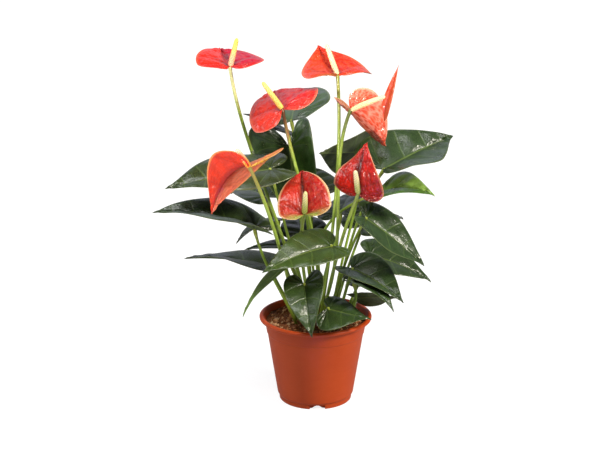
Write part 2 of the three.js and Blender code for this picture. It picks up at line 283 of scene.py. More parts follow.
# Peat is matt and nearly black when damp; dry crumbs of bark go tan. Crumbs carry their own
# dryness, and 3 mm blotches and 0.7 mm grit vary the bed between them.
peat, tree, skin = finish_of("damp_peat_and_bark", Roughness=0.92, Specular_IOR_Level=0.25)
place = add(tree, "ShaderNodeTexCoord").outputs["Object"]
dryness = add(tree, "ShaderNodeAttribute", attribute_name="dryness").outputs["Fac"]
patch = add(tree, "ShaderNodeTexNoise", {"Vector": place, "Scale": 330.0, "Detail": 4.0})
grit = add(tree, "ShaderNodeTexNoise", {"Vector": place, "Scale": 1400.0, "Detail": 2.0})
damp = add(tree, "ShaderNodeMath", {0: patch, 1: 0.35}, operation="MULTIPLY")
damp = add(tree, "ShaderNodeMath", {0: dryness, 1: damp}, operation="ADD")
earth = add(tree, "ShaderNodeValToRGB", {"Fac": damp}, stops=(
    (0.05, "#5c3016"), (0.3, "#8e5630"), (0.65, "#b57f52"), (1.0, "#cfa67c")))
tree.links.new(earth.outputs[0], skin.inputs["Base Color"])
relief = add(tree, "ShaderNodeBump", {"Height": grit, "Strength": 0.8, "Distance": 0.0008})
tree.links.new(relief.outputs[0], skin.inputs["Normal"])
soil.data.materials.append(peat)
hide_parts("soil")
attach(soil, "root")

# ---- Leaves ----
# Each leaf grew as one piece: a leathery heart-shaped blade on a wiry stalk, joined by a short
# swollen knuckle. The blade is 0.75 mm thick, waxy above and dull and paler beneath, with a sunk
# midrib, side veins that arch to the margin and a smooth pale rim.

# Half outline from the notch at the stalk round the lobe to the tip: distance along the midrib
# over its length, distance from it over the half width.
LEAF_OUTLINE = ((-0.02, 0.05), (-0.13, 0.17), (-0.22, 0.45), (-0.14, 0.80), (0.08, 1.00),
                (0.35, 0.90), (0.60, 0.58), (0.80, 0.27), (0.92, 0.09), (1, 0))
# Joint and tip in mm; roll, arch of the midrib, fold and cup of the halves, half width, twist,
# lobe depth, lean; then the stalk's root and its bends at 0.36 and 0.70 of its height.
LEAVES = {
    "back_tall": ((-30, 107, 329), (-19, 204, 339), -16, 0.04, 29, -29, 52, -6, 0.69, -0.09,
        (5, 9), (-4, 44), (-16, 83)),
    "back_thin": ((-34, 125, 311), (-92, 135, 332), 12, 0.02, 4, -19, 24, -15, 0.9, 0,
        (1, 12), (-10, 49), (-24, 94)),
    "centre_tall": ((-32, 90, 298), (-17, 69, 216), 42, 0.16, 50, 10, 67, -14, 1.05, -0.06,
        (2, 7), (-9, 36), (-22, 68)),
    "left_top": ((-55, -20, 302), (-180, -49, 287), -7, 0.02, 15, -31, 52, -15, 0.95, -0.1,
        (-4, 2), (-22, -2), (-40, -7)),
    "left_middle": ((-74, -39, 233), (-197, -32, 252), 6, 0.07, 26, -18, 45, -26, 0.85, 0.12,
        (-19, -12), (-33, -34), (-64, -58)),
    "left_low": ((-57, -6, 175), (-163, 14, 178), 3, 0.04, 16, -20, 42, 12, 0.55, -0.04,
        (-20, -5), (-27, -5), (-47, -6)),
    "left_back": ((-46, 78, 206), (-100, 51, 185), 15, 0.1, 15, -15, 26, 0, 0.6, 0,
        (-9, 21), (-29, 52), (-52, 87)),
    "left_thin": ((-29, 57, 180), (-92, 52, 175), 0, 0.05, 12, -15, 20, 0, 0.5, 0,
        (-6, 18), (-10, 27), (-23, 47)),
    "front_young": ((-31, -65, 200), (-88, -97, 142), 45, 0.07, 12, -18, 23, 6, 0.4, 0,
        (12, -25), (8, -31), (-26, -46)),
    "front_high": ((18, -63, 219), (-64, -110, 202), -18, 0.06, 18, -10, 33, -20, 0.62, 0.05,
        (8, -21), (5, -27), (11, -51)),
    "front_low": ((-14, -70, 173), (-5, -116, 123), 19, 0.12, 25, -1, 27, 4, 0.94, 0.04,
        (-1, -32), (-4, -40), (-10, -59)),
    "rim_front": ((15, -56, 137), (67, -70, 129), 21, 0, -1, -13, 33, -25, 0.8, -0.06,
        (12, -34), (13, -40), (14, -48)),
    "rim_right": ((50, 3, 130), (103, -26, 140), -34, 0.03, 6, -27, 27, -1, 0.4, 0.05,
        (38, 1), (43, 2), (43, 2)),
    "right_low": ((45, -10, 172), (106, -59, 146), 7, 0.06, 22, -7, 34, 3, 0.77, 0.04,
        (26, -12), (29, -16), (37, -20)),
    "right_under": ((46, -35, 163), (94, -68, 138), -10, 0.11, 19, -9, 24, 6, 0.5, 0,
        (29, -22), (42, -28), (55, -36)),
    "right_middle": ((68, 26, 178), (145, 22, 144), 19, 0.06, 13, -18, 35, -3, 0.82, 0,
        (32, 7), (39, 6), (59, 14)),
    "right_front": ((60, -35, 245), (132, -36, 185), 14, 0.03, 11, -1, 39, 20, 0.75, -0.06,
        (12, -3), (25, 0), (41, 0)),
    "right_young": ((80, 2, 267), (142, -49, 278), 22, 0.12, 14, -11, 31, -6, 0.45, 0,
        (20, 4), (5, 31), (-27, 66)),
    "right_top": ((82, -10, 299), (170, 52, 325), -1, 0.02, 24, -13, 63, 28, 0.61, -0.12,
        (19, -6), (32, 7), (48, 21)),
    "back_dark": ((64, 70, 300), (3, 4, 316), 61, 0, 7, -11, 40, -15, 0.76, -0.04,
        (19, 11), (26, 18), (55, 55)),
    "back_right": ((32, 67, 220), (49, 128, 231), -15, 0.04, 9, -19, 33, -6, 0.86, 0,
        (15, 16), (-8, 26), (31, 56)),
    "back_middle": ((-2, 106, 238), (-8, 158, 256), 0, 0.05, 12, -15, 34, 0, 0.7, 0,
        (3, 17), (-2, 43), (-8, 72)),
    "back_low": ((-12, 78, 189), (-30, 132, 197), -5, 0.08, 12, -15, 30, 0, 0.5, 0,
        (2, 22), (-3, 41), (-8, 62)),
    "rim_back": ((42, 38, 141), (90, 58, 137), 10, 0.08, 12, -15, 24, 0, 0.45, 0,
        (27, 19), (31, 24), (37, 31)),
    "behind_right": ((60, 85, 196), (116, 150, 186), 8, 0.1, 14, -15, 33, 0, 0.85, 0,
        (23, 27), (29, 47), (51, 87)),
    "behind_left": ((-62, 110, 228), (-110, 166, 216), -6, 0.1, 14, -15, 33, 0, 0.85, 0,
        (4, 28), (-24, 67), (-54, 112)),
}
# Blade colours; two where the left and right halves differ. The near-black greens of back_thin,
# left_back, back_dark, back_right, back_middle, back_low, rim_back, behind_right and behind_left are
# painted shade. The darker half of centre_tall is painted shade, and the pale yellow-green far half
# of right_young is a painted glow of light.
LEAF_GREEN_WITH_PAINTED_LIGHT = {
    "back_tall": "#46603f", "back_thin": "#1d1823", "centre_tall": "#3c6424 #1f3d1a",
    "left_top": "#263612", "left_middle": "#2c4020", "left_low": "#2c3a28",
    "left_back": "#1d2b16", "left_thin": "#26381a", "front_young": "#5f8a22",
    "front_high": "#344e14", "front_low": "#2d4616", "rim_front": "#2b451a",
    "rim_right": "#2c431c", "right_low": "#2b451e", "right_under": "#2e4a1a",
    "right_middle": "#344f24", "right_front": "#28451a", "right_young": "#b4e468 #5a8a2c",
    "right_top": "#27411c", "back_dark": "#101317", "back_right": "#1b2a16",
    "back_middle": "#182414", "back_low": "#182414", "rim_back": "#1f3018",
    "behind_right": "#1f2e1b", "behind_left": "#1f2e1b"}
LEAF_VEINS = 10
BLADE_THICKNESS = 0.75
STALK_ROOT = 88


def unit(v):
    return v / np.linalg.norm(v, axis=-1, keepdims=True)


def spun(v, axis, angle):
    """Vectors turned about unit axes by angles in radians."""
    c, s = np.cos(angle)[..., None], np.sin(angle)[..., None]
    return v * c + np.cross(axis, v) * s + axis * (axis * v).sum(-1, keepdims=True) * (1 - c)


def smooth(x, low, high):
    """0 below low, 1 above high and an S between."""
    t = np.clip((x - low) / (high - low), 0, 1)
    return t * t * (3 - 2 * t)


def outline_at(outline, u):
    """Points of an outline at u from 0 to 1, on a smooth curve through its corners."""
    first, last = np.array(outline[:2]), np.array(outline[-2:])
    p = np.vstack([2 * first[0] - first[1], outline, 2 * last[1] - last[0]])
    i = np.minimum((u * (len(outline) - 1)).astype(int), len(outline) - 2)
    t = (u * (len(outline) - 1) - i)[:, None]
    a, b, c, d = (p[i + k] for k in range(4))
    return 0.5 * (2 * b + (c - a) * t + (2 * a - 5 * b + 4 * c - d) * t ** 2
                  + (3 * b - a - 3 * c + d) * t ** 3)


def blade_at(row, outline, u, q):
    """Points in mm and upward normals of a blade, u from notch to tip, q from margin to margin."""
    joint, tip, roll, arch, fold, cup, width, twist, lobe, lean = row[:10]
    fold, cup = math.radians(fold), math.radians(cup) or 1e-3
    side = np.where(q < 0, -1.0, 1.0)
    s0, w0 = outline_at(outline, u).T
    rib = np.maximum(0, s0 - 0.35 * w0 * (1 - s0))
    s = rib + (np.where(s0 < 0, s0 * lobe, s0) - rib) * abs(q) ** 1.25
    a = w0 * (1 + side * lean) * abs(q)
    x = np.array(tip, float) - joint
    length = np.linalg.norm(x)
    x = np.tile(x / length, (len(u), 1))
    n = unit(np.array([0, 0, 1.0]) - x * x[:, 2:])
    y = np.cross(n, x)
    angle = np.full(len(u), math.radians(roll))
    y, n = spun(y, x, angle), spun(n, x, angle)
    rise = 4 * arch * s * np.where(s > 0, 1 - s, 1)
    slope = 4 * arch * np.where(s > 0, 1 - 2 * s, 1)
    along = unit(x + n * slope[:, None])
    up = unit(np.cross(along, y))
    angle = math.radians(twist) * np.maximum(0, s)
    y, up = spun(y, along, angle), spun(up, along, angle)
    out = side * (np.sin(fold + cup * a) - math.sin(fold)) / cup
    lift = -(np.cos(fold + cup * a) - math.cos(fold)) / cup
    point = joint + x * (length * s)[:, None] + n * (length * rise)[:, None]
    point = point + width * (y * out[:, None] + up * lift[:, None])
    across = (y * (side * np.cos(fold + cup * a))[:, None]
              + up * np.sin(fold + cup * a)[:, None])
    return point, unit(np.cross(along, across)) * side[:, None]


def sheet_of(name, rows, columns, shape):
    """A grid bent to shape(u, v), with u and v from 0 to 1 kept as its UV and its seams merged."""
    bpy.ops.object.select_all(action="DESELECT")
    bpy.ops.mesh.primitive_grid_add(x_subdivisions=rows, y_subdivisions=columns, size=2)
    made = bpy.context.object
    made.name = made.data.name = name
    flat = np.empty(len(made.data.vertices) * 3)
    made.data.vertices.foreach_get("co", flat)
    u, v = (flat.reshape(-1, 3)[:, :2].T + 1) / 2
    made.data.vertices.foreach_set("co", (shape(u, v) * MM).ravel())
    bpy.ops.object.mode_set(mode="EDIT")
    bpy.ops.mesh.select_all(action="SELECT")
    bpy.ops.mesh.remove_doubles(threshold=2e-6)
    bpy.ops.object.mode_set(mode="OBJECT")
    return made


def thickened(made, thickness, skins):
    """A sheet given its thickness, thinned to its margin, with a finish above and one beneath."""
    body = made.vertex_groups.new(name="body")
    uv = made.data.uv_layers[0].data
    for loop in made.data.loops:
        q = abs(2 * uv[loop.index].uv[1] - 1)
        body.add([loop.vertex_index], 1 - q ** 12, "REPLACE")
    for skin in skins:
        made.data.materials.append(skin)
    solid = made.modifiers.new("thickness", "SOLIDIFY")
    solid.thickness = thickness * MM
    solid.offset = 0
    solid.material_offset = 1
    solid.vertex_group = "body"
    solid.thickness_vertex_group = 0.3
    bpy.ops.object.modifier_apply(modifier=solid.name)
    bpy.ops.object.shade_smooth()


def stalk_of(name, row, sides, radius, past, skin):
    """A round stalk from the soil to its joint; radius(t, mm to the joint) gives its girth."""
    root, low, high = row[10:13]
    joint = np.array(row[0], float)
    height = joint[2] - STALK_ROOT
    p = [np.array([*root, STALK_ROOT]), np.array([*low, STALK_ROOT + 0.36 * height]),
         np.array([*high, STALK_ROOT + 0.7 * height]), joint]
    plane = np.cross(p[3] - p[0], p[1] - p[0]) + np.cross(p[3] - p[0], p[2] - p[0])
    plane = unit(plane) if np.linalg.norm(plane) > 40 else np.array([1.0, 0, 0])
    length = sum(np.linalg.norm(p[k + 1] - p[k]) for k in range(3)) + past

    def shape(u, v):
        t = np.minimum(1, u * length / (length - past))[:, None]
        beyond = np.maximum(0, u[:, None] * length - (length - past))
        at = (p[0] * (1 - t) ** 3 + 3 * p[1] * t * (1 - t) ** 2 + 3 * p[2] * t * t * (1 - t)
              + p[3] * t ** 3)
        way = unit((p[1] - p[0]) * (1 - t) ** 2 + 2 * (p[2] - p[1]) * t * (1 - t)
                   + (p[3] - p[2]) * t * t)
        side = unit(np.cross(way, plane))
        up = np.cross(way, side)
        girth = radius(u, (1 - u) * length - past)
        turn = 2 * math.pi * v
        ring = side * np.cos(turn)[:, None] + up * np.sin(turn)[:, None]
        return at + way * beyond + ring * girth[:, None]

    made = sheet_of(name, int(length / 4.5), sides, shape)
    bpy.ops.object.mode_set(mode="EDIT")
    bpy.ops.mesh.select_all(action="SELECT")
    bpy.ops.mesh.fill_holes(sides=0)
    bpy.ops.mesh.normals_make_consistent(inside=False)
    bpy.ops.object.mode_set(mode="OBJECT")
    made.data.materials.append(skin)
    bpy.ops.object.shade_smooth_by_angle(angle=math.radians(50))
    return made


def uv_of(made):
    """The u and v of each corner of a piece."""
    spots = np.zeros((len(made.data.vertices), 2))
    for loop in made.data.loops:
        spots[loop.vertex_index] = made.data.uv_layers[0].data[loop.index].uv
    return spots.T


def keep_colour_and_painted_light(made, name, codes):
    """The piece's colour, with any painted shade or painted highlight that its table holds, kept in
    its mesh for a shared finish to read: one hex code, or two for its left and right halves."""
    left, right = (codes.split() * 2)[:2]
    share = smooth(uv_of(made)[1], 0.46, 0.54)[:, None]
    colour = np.array(srgb(right)) * (1 - share) + np.array(srgb(left)) * share
    made.data.attributes.new(name, "FLOAT_COLOR", "POINT").data.foreach_set(
        "color", colour.ravel())


def marked(made, name, values):
    """A number for each corner of a piece, kept in its mesh for its finish to read."""
    made.data.attributes.new(name, "FLOAT", "POINT").data.foreach_set("value", values)


def vein_lines(tree, count, width):
    """Masks from the blade's UV: side veins, midrib, distance from the midrib, rim, and u."""
    uv = add(tree, "ShaderNodeSeparateXYZ", {0: add(tree, "ShaderNodeUVMap", uv_map="UVMap")})
    u = uv.outputs[0]
    q = add(tree, "ShaderNodeMath", {0: uv.outputs[1], 1: 2.0, 2: -1.0}, operation="MULTIPLY_ADD")
    q = add(tree, "ShaderNodeMath", {0: q}, operation="ABSOLUTE")
    near = add(tree, "ShaderNodeMath", {0: u, 1: float(count)}, operation="MULTIPLY")
    near = add(tree, "ShaderNodeMath", {0: near, 1: 0.5}, operation="PINGPONG")
    side = add(tree, "ShaderNodeMapRange", {0: near, 1: 0.0, 2: width, 3: 1.0, 4: 0.0},
               interpolation_type="SMOOTHSTEP")
    fade = add(tree, "ShaderNodeMapRange", {0: q, 1: 0.86, 2: 0.97, 3: 1.0, 4: 0.0})
    side = add(tree, "ShaderNodeMath", {0: side, 1: fade}, operation="MULTIPLY")
    midrib = add(tree, "ShaderNodeMapRange", {0: q, 1: 0.0, 2: 0.05, 3: 1.0, 4: 0.0},
                 interpolation_type="SMOOTHSTEP")
    rim = add(tree, "ShaderNodeMapRange", {0: q, 1: 0.955, 2: 0.99, 3: 0.0, 4: 1.0})
    return side, midrib, q, rim, u


# A leaf's wax gives a broad cool sheen over dark green. Veins are paler and slightly sunk; the
# 1.6 mm cells between the finest veins and 15 mm patches vary the colour and the shine.
leaf_skins = []
for face, pale, rough, coat in (("waxed_leaf", 0.0, 0.32, 0.7), ("leaf_underside", 0.4, 0.6, 0.0)):
    made, tree, skin = finish_of(
        face, Roughness=rough, Coat_Weight=coat, Coat_Roughness=0.16, Specular_IOR_Level=0.35)
    side, midrib, q, rim, u = vein_lines(tree, LEAF_VEINS, 0.06)
    place = add(tree, "ShaderNodeTexCoord").outputs["Object"]
    # The stored blade colour holds painted shade on the leaves at the back and a painted glow on
    # right_young's far half.
    own = add(tree, "ShaderNodeAttribute", attribute_name="leaf_green_with_painted_light").outputs["Color"]
    green = add(tree, "ShaderNodeMix", {0: pale, 6: own, 7: srgb("#7d9160")}, data_type="RGBA")
    patch = add(tree, "ShaderNodeTexNoise", {"Vector": place, "Scale": 65.0, "Detail": 3.0})
    shade = add(tree, "ShaderNodeMapRange", {0: patch, 1: 0.3, 2: 0.7, 3: 0.4, 4: 0.86})
    green = add(tree, "ShaderNodeHueSaturation", {"Value": shade, "Color": green.outputs[2]})
    cells = add(tree, "ShaderNodeTexVoronoi", {"Vector": place, "Scale": 620.0},
                feature="DISTANCE_TO_EDGE")
    net = add(tree, "ShaderNodeMapRange", {0: cells, 1: 0.0, 2: 0.12, 3: 0.3, 4: 0.0})
    green = add(tree, "ShaderNodeMix", {0: net, 6: green, 7: srgb("#70864a")},
                data_type="RGBA")
    for mask, share, code in ((side, 0.16, "#7f9a48"), (midrib, 0.4, "#93aa58"),
                              (rim, 0.3, "#8f9a58")):
        part = add(tree, "ShaderNodeMath", {0: mask, 1: share}, operation="MULTIPLY")
        green = add(tree, "ShaderNodeMix", {0: part, 6: green.outputs[2], 7: srgb(code)},
                    data_type="RGBA")
    tree.links.new(green.outputs[2], skin.inputs["Base Color"])
    dull = add(tree, "ShaderNodeMapRange", {0: patch, 1: 0.3, 2: 0.7, 3: rough - 0.06,
                                            4: rough + 0.08})
    tree.links.new(dull.outputs[0], skin.inputs["Roughness"])
    sunk = add(tree, "ShaderNodeMath", {0: side, 1: -0.8 if not pale else 0.8, 2: cells},
               operation="MULTIPLY_ADD")
    relief = add(tree, "ShaderNodeBump", {"Height": sunk, "Strength": 0.5, "Distance": 0.0006})
    soft = add(tree, "ShaderNodeBump", {"Height": patch, "Strength": 0.5, "Distance": 0.002,
                                        "Normal": relief})
    tree.links.new(soft.outputs[0], skin.inputs["Normal"])
    tree.links.new(soft.outputs[0], skin.inputs["Coat Normal"])
    leaf_skins.append(made)

# Leaf stalks are smooth and tough, bright green with a paler knuckle and earthy foot.
petiole, tree, skin = finish_of("green_leaf_stalk", Roughness=0.42, IOR=1.45)
uv = add(tree, "ShaderNodeSeparateXYZ", {0: add(tree, "ShaderNodeUVMap", uv_map="UVMap")})
place = add(tree, "ShaderNodeTexCoord").outputs["Object"]
streak = add(tree, "ShaderNodeMapping", {"Vector": place, "Scale": (1.0, 1.0, 0.08)})
streak = add(tree, "ShaderNodeTexNoise", {"Vector": streak, "Scale": 900.0, "Detail": 2.0})
height = add(tree, "ShaderNodeMath", {0: streak, 1: 0.16, 2: uv.outputs[0]},
             operation="MULTIPLY_ADD")
green = add(tree, "ShaderNodeValToRGB", {"Fac": height}, stops=(
    (0.0, "#4a3a22"), (0.1, "#74882c"), (0.35, "#90ac34"), (0.9, "#7f9c32"), (1.0, "#a0ae48")))
tree.links.new(green.outputs[0], skin.inputs["Base Color"])
relief = add(tree, "ShaderNodeBump", {"Height": streak, "Strength": 0.3, "Distance": 0.0004})
tree.links.new(relief.outputs[0], skin.inputs["Normal"])


def petiole_girth(t, left):
    """A leaf stalk's radius: a sheath at its foot, slim above, swelling to a round knuckle."""
    girth = 1.7 + 0.35 * smooth(-t, -0.1, 0) + 0.75 * smooth(-left, -14, -5)
    return girth * np.sqrt(np.clip(1 - (np.maximum(0, -left - 0.2) / 2.4) ** 2, 0.02, 1))


for name, row in LEAVES.items():
    wave = [rng.random() for _ in range(3)]

    def leaf_shape(u, v, row=row, wave=wave):
        t = 2 * v - 1
        point, up = blade_at(row, LEAF_OUTLINE, u, t)
        q, width = abs(t), row[6]
        swell = 0.5 - 0.5 * np.cos(2 * math.pi * LEAF_VEINS * u)
        raised = width / 50 * 1.5 * swell * smooth(q, 0.02, 0.25) * (1 - smooth(q, 0.75, 0.97))
        groove = -0.7 * np.exp(-(q * width * outline_at(LEAF_OUTLINE, u)[:, 1] / 1.3) ** 2)
        ripple = np.sin(2 * math.pi * ((2.3 + wave[0]) * u + np.where(t > 0, wave[1], wave[2])))
        ends = smooth(u, 0.0, 0.12) * (1 - smooth(u, 0.9, 1.0))
        height = (raised + 0.02 * width * ripple * q ** 4) * ends + groove * smooth(u, 0, 0.25)
        return point + up * height[:, None]

    leaf = sheet_of("blade_" + name, 90, 28, leaf_shape)
    thickened(leaf, BLADE_THICKNESS, leaf_skins)
    stalk = stalk_of("petiole_" + name, row, 12, petiole_girth, 2.2, petiole)
    leaf.select_set(True)
    bpy.context.view_layer.objects.active = leaf
    bpy.ops.object.join()
    leaf.name = leaf.data.name = "grown_leaf_" + name
    keep_colour_and_painted_light(leaf, "leaf_green_with_painted_light", LEAF_GREEN_WITH_PAINTED_LIGHT[name])
    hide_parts("leaf_" + name)
    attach(leaf, "root")

# ---- Flower stalks ----
# Each flower is carried by its own stalk, rounder and stouter than a leaf's and as smooth, which
# runs up between the leaves and bends over to its spathe. The upper end takes some of the
# flower's colour.

# Outline, joint, tip and angles as for the leaves, with the spadix's tip at the end.
SPATHE_OUTLINE = ((-0.03, 0.05), (-0.17, 0.16), (-0.30, 0.42), (-0.24, 0.78), (0.00, 1.00),
                  (0.30, 0.97), (0.58, 0.70), (0.80, 0.34), (0.92, 0.10), (1, 0))
FLOWERS = {
    "top_left": ((-103, 8, 421), (-118, 83, 428), -1, 0, 19, -19, 41, 12, 0.7, -0.03,
        (-6, 12), (-38, 38), (-94, 54), (-95, 14, 453)),
    "upper_left": ((-40, 0, 371), (-53, 86, 372), -33, 0.05, 4, -19, 46, 21, 0.85, -0.06,
        (-1, -2), (18, -2), (-27, 1), (-63, 8, 401)),
    "top_right": ((26, 20, 408), (3, 95, 430), -1, -0.1, 16, -32, 42, -11, 0.48, -0.07,
        (4, 2), (21, 2), (33, 15), (13, 34, 442)),
    "upper_right": ((41, -17, 375), (84, -4, 326), 142, -0.02, -23, -39, 36, -4, 0.86, -0.01,
        (-5, -8), (51, -4), (9, -2), (79, -34, 395)),
    "left": ((-77, -134, 338), (-123, -88, 267), 17, 0.17, 37, -17, 43, 27, 0.35, -0.21,
        (-17, 2), (-37, -36), (-50, -83), (-90, -147, 361)),
    "centre": ((-14, -71, 262), (-17, -15, 300), -14, 0.06, 27, -14, 34, -7, 0.38, -0.09,
        (0, -20), (-12, -22), (-24, -25), (-13, -79, 290)),
    "right": ((50, -51, 281), (60, -43, 343), 22, 0.14, -15, 2, 35, -32, 0.46, 0.11,
        (6, -15), (15, -29), (29, -44), (46, -63, 311)),
}
STALK_TOP = {"top_left": "#ccd29c", "upper_left": "#8a4a34", "top_right": "#8a8c3c",
             "upper_right": "#55602c", "left": "#8f8040", "centre": "#76853c",
             "right": "#7b8a42"}

stalk_skin, tree, skin = finish_of(
    "smooth_flower_stalk", Roughness=0.36, IOR=1.45, Coat_Weight=0.2, Coat_Roughness=0.2)
uv = add(tree, "ShaderNodeSeparateXYZ", {0: add(tree, "ShaderNodeUVMap", uv_map="UVMap")})
place = add(tree, "ShaderNodeTexCoord").outputs["Object"]
streak = add(tree, "ShaderNodeMapping", {"Vector": place, "Scale": (1.0, 1.0, 0.06)})
streak = add(tree, "ShaderNodeTexNoise", {"Vector": streak, "Scale": 800.0, "Detail": 2.0})
height = add(tree, "ShaderNodeMath", {0: streak, 1: 0.2, 2: uv.outputs[0]},
             operation="MULTIPLY_ADD")
green = add(tree, "ShaderNodeValToRGB", {"Fac": height}, stops=(
    (0.0, "#4a3a22"), (0.1, "#788c2c"), (0.3, "#98b43c"), (0.8, "#94ae42")))
upper = add(tree, "ShaderNodeMapRange", {0: height, 1: 0.86, 2: 1.04, 3: 0.0, 4: 0.9},
            interpolation_type="SMOOTHSTEP")
own = add(tree, "ShaderNodeAttribute", attribute_name="stalk_top").outputs["Color"]
green = add(tree, "ShaderNodeMix", {0: upper, 6: green, 7: own}, data_type="RGBA")
tree.links.new(green.outputs[2], skin.inputs["Base Color"])
relief = add(tree, "ShaderNodeBump", {"Height": streak, "Strength": 0.3, "Distance": 0.0004})
tree.links.new(relief.outputs[0], skin.inputs["Normal"])


def stalk_girth(t, left):
    """A flower stalk's radius: stouter at its foot and at the collar under the spathe."""
    girth = 2.05 + 0.3 * smooth(-t, -0.08, 0) + 0.35 * smooth(-left, -7, -1)
    return girth * np.sqrt(np.clip(1 - (np.maximum(0, -left - 0.5) / 2.2) ** 2, 0.05, 1))


for name, row in FLOWERS.items():
    stalk = stalk_of("stalk_" + name, row, 16, stalk_girth, 1.8, stalk_skin)
    keep_colour_and_painted_light(stalk, "stalk_top", STALK_TOP[name])
    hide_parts("flower_stalk_" + name)
    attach(stalk, "root")

# ---- Spathes ----
# A spathe is the red heart-shaped leaf that frames the flower spike: 0.7 mm thick, glossy as
# lacquer, quilted between sunk veins, and set on the end of its stalk round the spadix.
SPATHE_VEINS = 7
SPATHE_THICKNESS = 0.7
SPATHE_PARTS = ("left_half", "right_half", "valley_shade", "rim", "lobe", "vein_highlight_and_shade")
# A colour for each of these parts: the halves, painted shade for the valley along the midrib and the
# sunk side veins, the rim, the lobes beside the stalk, and the fine veins, whose colour is a painted
# highlight where it is paler than the halves and painted shade where it is darker.
SPATHE_COLOUR = {
    "top_left": ("#dc2410", "#b01034", "#6a0616", "#e0502c", "#b81e1c", "#c8281c"),
    "upper_left": ("#dc2c1c", "#c8141c", "#90101c", "#e87058", "#cc2c20", "#e4503c"),
    "top_right": ("#dc3410", "#cc2810", "#8c1208", "#e06c40", "#7a5018 #dc3410", "#e05a34"),
    "upper_right": ("#d84a2c", "#a8401c", "#a42c20", "#f4ac92", "#dc5436 #6a3414", "#fab4a0"),
    "left": ("#d83008", "#e07a5c", "#8c0c0c", "#f0a060", "#d83008 #b89c1c", "#b02010"),
    "centre": ("#b02010", "#9c0e0a", "#1c0203", "#d8b484", "#84a848", "#b8503a"),
    "right": ("#bc1c0e", "#b0160e", "#300305", "#d08c68", "#8c1c12", "#5a0608")}
# The point that one spathe's tip is drawn out into, as a narrow blade.
DRAWN_TIP = ((80, -10, 366), (98, -14, 430), 80, 0.03, 10, -10, 6, 0, 0.3, 0)

# Spathe wax is thick and clear over red cells, so highlights are sharp and nearly white. The rim is
# paler. Painted shade darkens the valley along the midrib and the sunk side veins, and the fine veins
# carry a painted highlight where their colour is paler than the halves and painted shade where it is
# darker; 3 mm cells pucker it between the veins.
spathe_skins = []
for face, pale, rough, coat in (("lacquered_spathe", 0.0, 0.34, 0.4),
                                ("spathe_underside", 0.45, 0.5, 0.1)):
    made, tree, skin = finish_of(
        face, Roughness=rough, Coat_Weight=coat, Coat_Roughness=0.06, Specular_IOR_Level=0.3,
        Subsurface_Weight=0.08, Subsurface_Radius=(0.003, 0.0008, 0.0005),
        Subsurface_Scale=1.0)
    side, midrib, q, rim, u = vein_lines(tree, SPATHE_VEINS, 0.1)
    uv = add(tree, "ShaderNodeSeparateXYZ", {0: add(tree, "ShaderNodeUVMap", uv_map="UVMap")})
    place = add(tree, "ShaderNodeTexCoord").outputs["Object"]
    own = {part: add(tree, "ShaderNodeAttribute", attribute_name=part).outputs["Color"]
           for part in SPATHE_PARTS}
    half = add(tree, "ShaderNodeMapRange", {0: uv.outputs[1], 1: 0.47, 2: 0.53})
    red = add(tree, "ShaderNodeMix", {0: half, 6: own["right_half"], 7: own["left_half"]},
              data_type="RGBA")
    patch = add(tree, "ShaderNodeTexNoise", {"Vector": place, "Scale": 90.0, "Detail": 3.0})
    shade = add(tree, "ShaderNodeMapRange", {0: patch, 1: 0.3, 2: 0.7, 3: 0.85, 4: 1.15})
    red = add(tree, "ShaderNodeHueSaturation", {"Value": shade, "Color": red.outputs[2]}).outputs[0]
    # Painted shade: the valley colour darkens the fold along the midrib.
    valley_shade = add(tree, "ShaderNodeMapRange", {0: q, 1: 0.0, 2: 0.36, 3: 0.92, 4: 0.0},
                 interpolation_type="SMOOTHSTEP")
    edge = add(tree, "ShaderNodeMapRange", {0: q, 1: 0.9, 2: 0.985, 3: 0.0, 4: 1.0},
               interpolation_type="SMOOTHSTEP")
    base = add(tree, "ShaderNodeMapRange", {0: u, 1: 0.2, 2: 0.5, 3: 1.0, 4: 0.0},
               interpolation_type="SMOOTHSTEP")
    outer = add(tree, "ShaderNodeMapRange", {0: q, 1: 0.15, 2: 0.6, 3: 0.0, 4: 1.0})
    base = add(tree, "ShaderNodeMath", {0: base, 1: outer}, operation="MULTIPLY")
    # The fine-vein colour is a painted highlight where it is paler than the halves, and painted shade
    # where it is darker.
    net = add(tree, "ShaderNodeAttribute", attribute_name="vein_net").outputs["Fac"]
    # Painted shade: the valley colour also goes into the sunk side veins at 0.3.
    for mask, share, part in ((base, 0.9, "lobe"), (valley_shade, 1.0, "valley_shade"),
                              (side, 0.3, "valley_shade"), (net, 0.45, "vein_highlight_and_shade"), (edge, 0.85, "rim")):
        part_of = add(tree, "ShaderNodeMath", {0: mask, 1: share}, operation="MULTIPLY")
        red = add(tree, "ShaderNodeMix", {0: part_of, 6: red, 7: own[part]},
                  data_type="RGBA").outputs[2]
    red = add(tree, "ShaderNodeMix", {0: pale, 6: red, 7: srgb("#96703c")}, data_type="RGBA")
    tree.links.new(red.outputs[2], skin.inputs["Base Color"])
    cells = add(tree, "ShaderNodeTexVoronoi", {"Vector": place, "Scale": 330.0},
                feature="SMOOTH_F1")
    relief = add(tree, "ShaderNodeBump", {"Height": cells, "Strength": 0.7,
                                          "Distance": 0.0008}, invert=True)
    soft = add(tree, "ShaderNodeBump", {"Height": patch, "Strength": 0.4, "Distance": 0.002,
                                        "Normal": relief})
    tree.links.new(soft.outputs[0], skin.inputs["Normal"])
    tree.links.new(soft.outputs[0], skin.inputs["Coat Normal"])
    spathe_skins.append(made)

